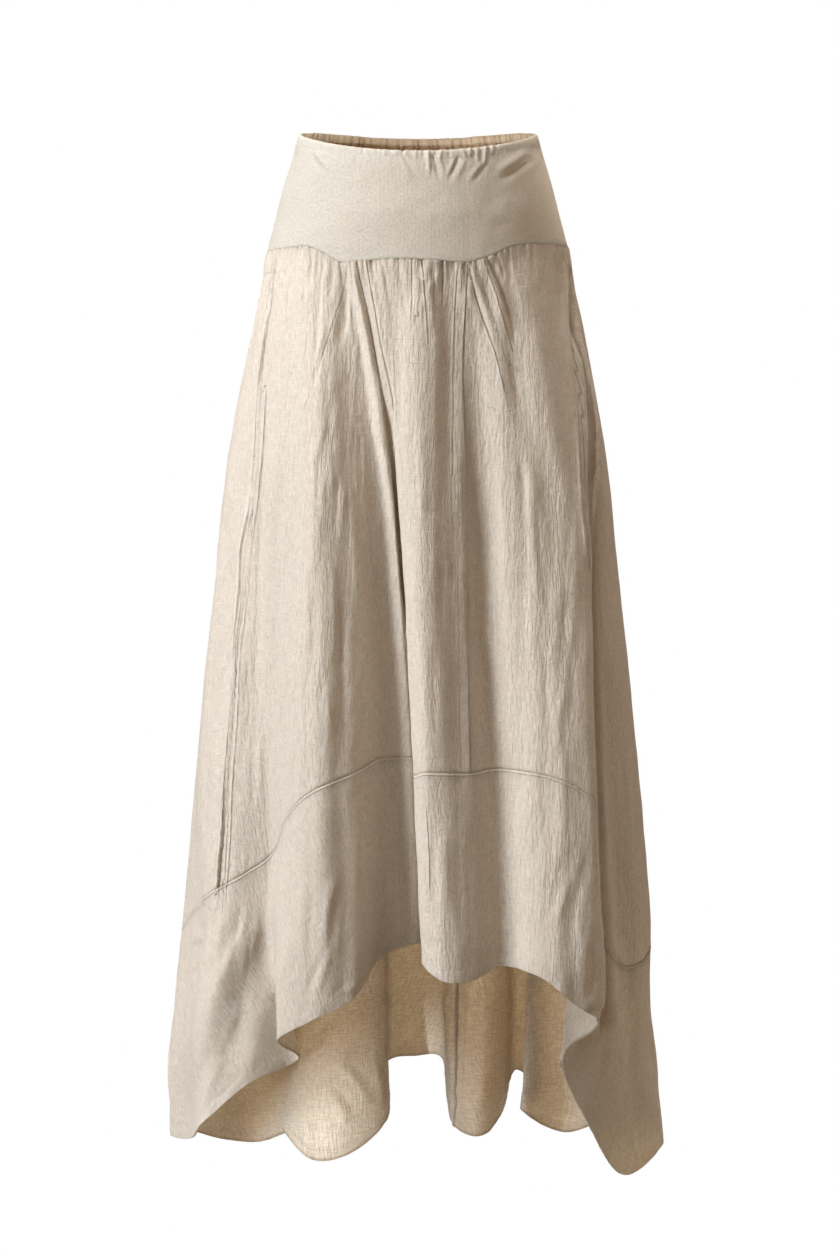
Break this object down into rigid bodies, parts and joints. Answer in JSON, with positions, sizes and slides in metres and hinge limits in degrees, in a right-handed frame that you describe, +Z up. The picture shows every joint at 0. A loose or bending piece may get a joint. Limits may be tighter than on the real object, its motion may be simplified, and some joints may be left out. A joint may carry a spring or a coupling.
{
  "type": "maxi skirt",
  "caption": "Long hollow linen skirt with a smooth fitted yoke, an elastic waist casing, deep soft folds and an uneven fluted hem.",
  "frame": {"origin": "middle of the waist opening, at the height of the elastic", "axes": "+Z up, the front of the skirt faces -Y, +X is the viewer's right"},
  "size_m": [0.4972, 0.4348, 1.0427],
  "materials": {
    "elastic_casing": "fine knit in oatmeal, gathered by elastic",
    "knit_oatmeal": "smooth matt knit in oatmeal",
    "linen_cream": "undyed linen, plain weave with slubs, matt"
  },
  "bodies": {
    "root": {"waist_casing": "elastic_casing", "yoke_front": "knit_oatmeal", "yoke_back": "knit_oatmeal", "front_centre_panel": "linen_cream", "front_right_panel": "linen_cream", "side_right_panel": "linen_cream", "back_right_panel": "linen_cream", "back_left_panel": "linen_cream", "side_left_panel": "linen_cream", "front_left_panel": "linen_cream", "band_front": "linen_cream", "band_right": "linen_cream", "band_back_right": "linen_cream", "band_back_left": "linen_cream", "band_left": "linen_cream"}
  },
  "joints": []
}
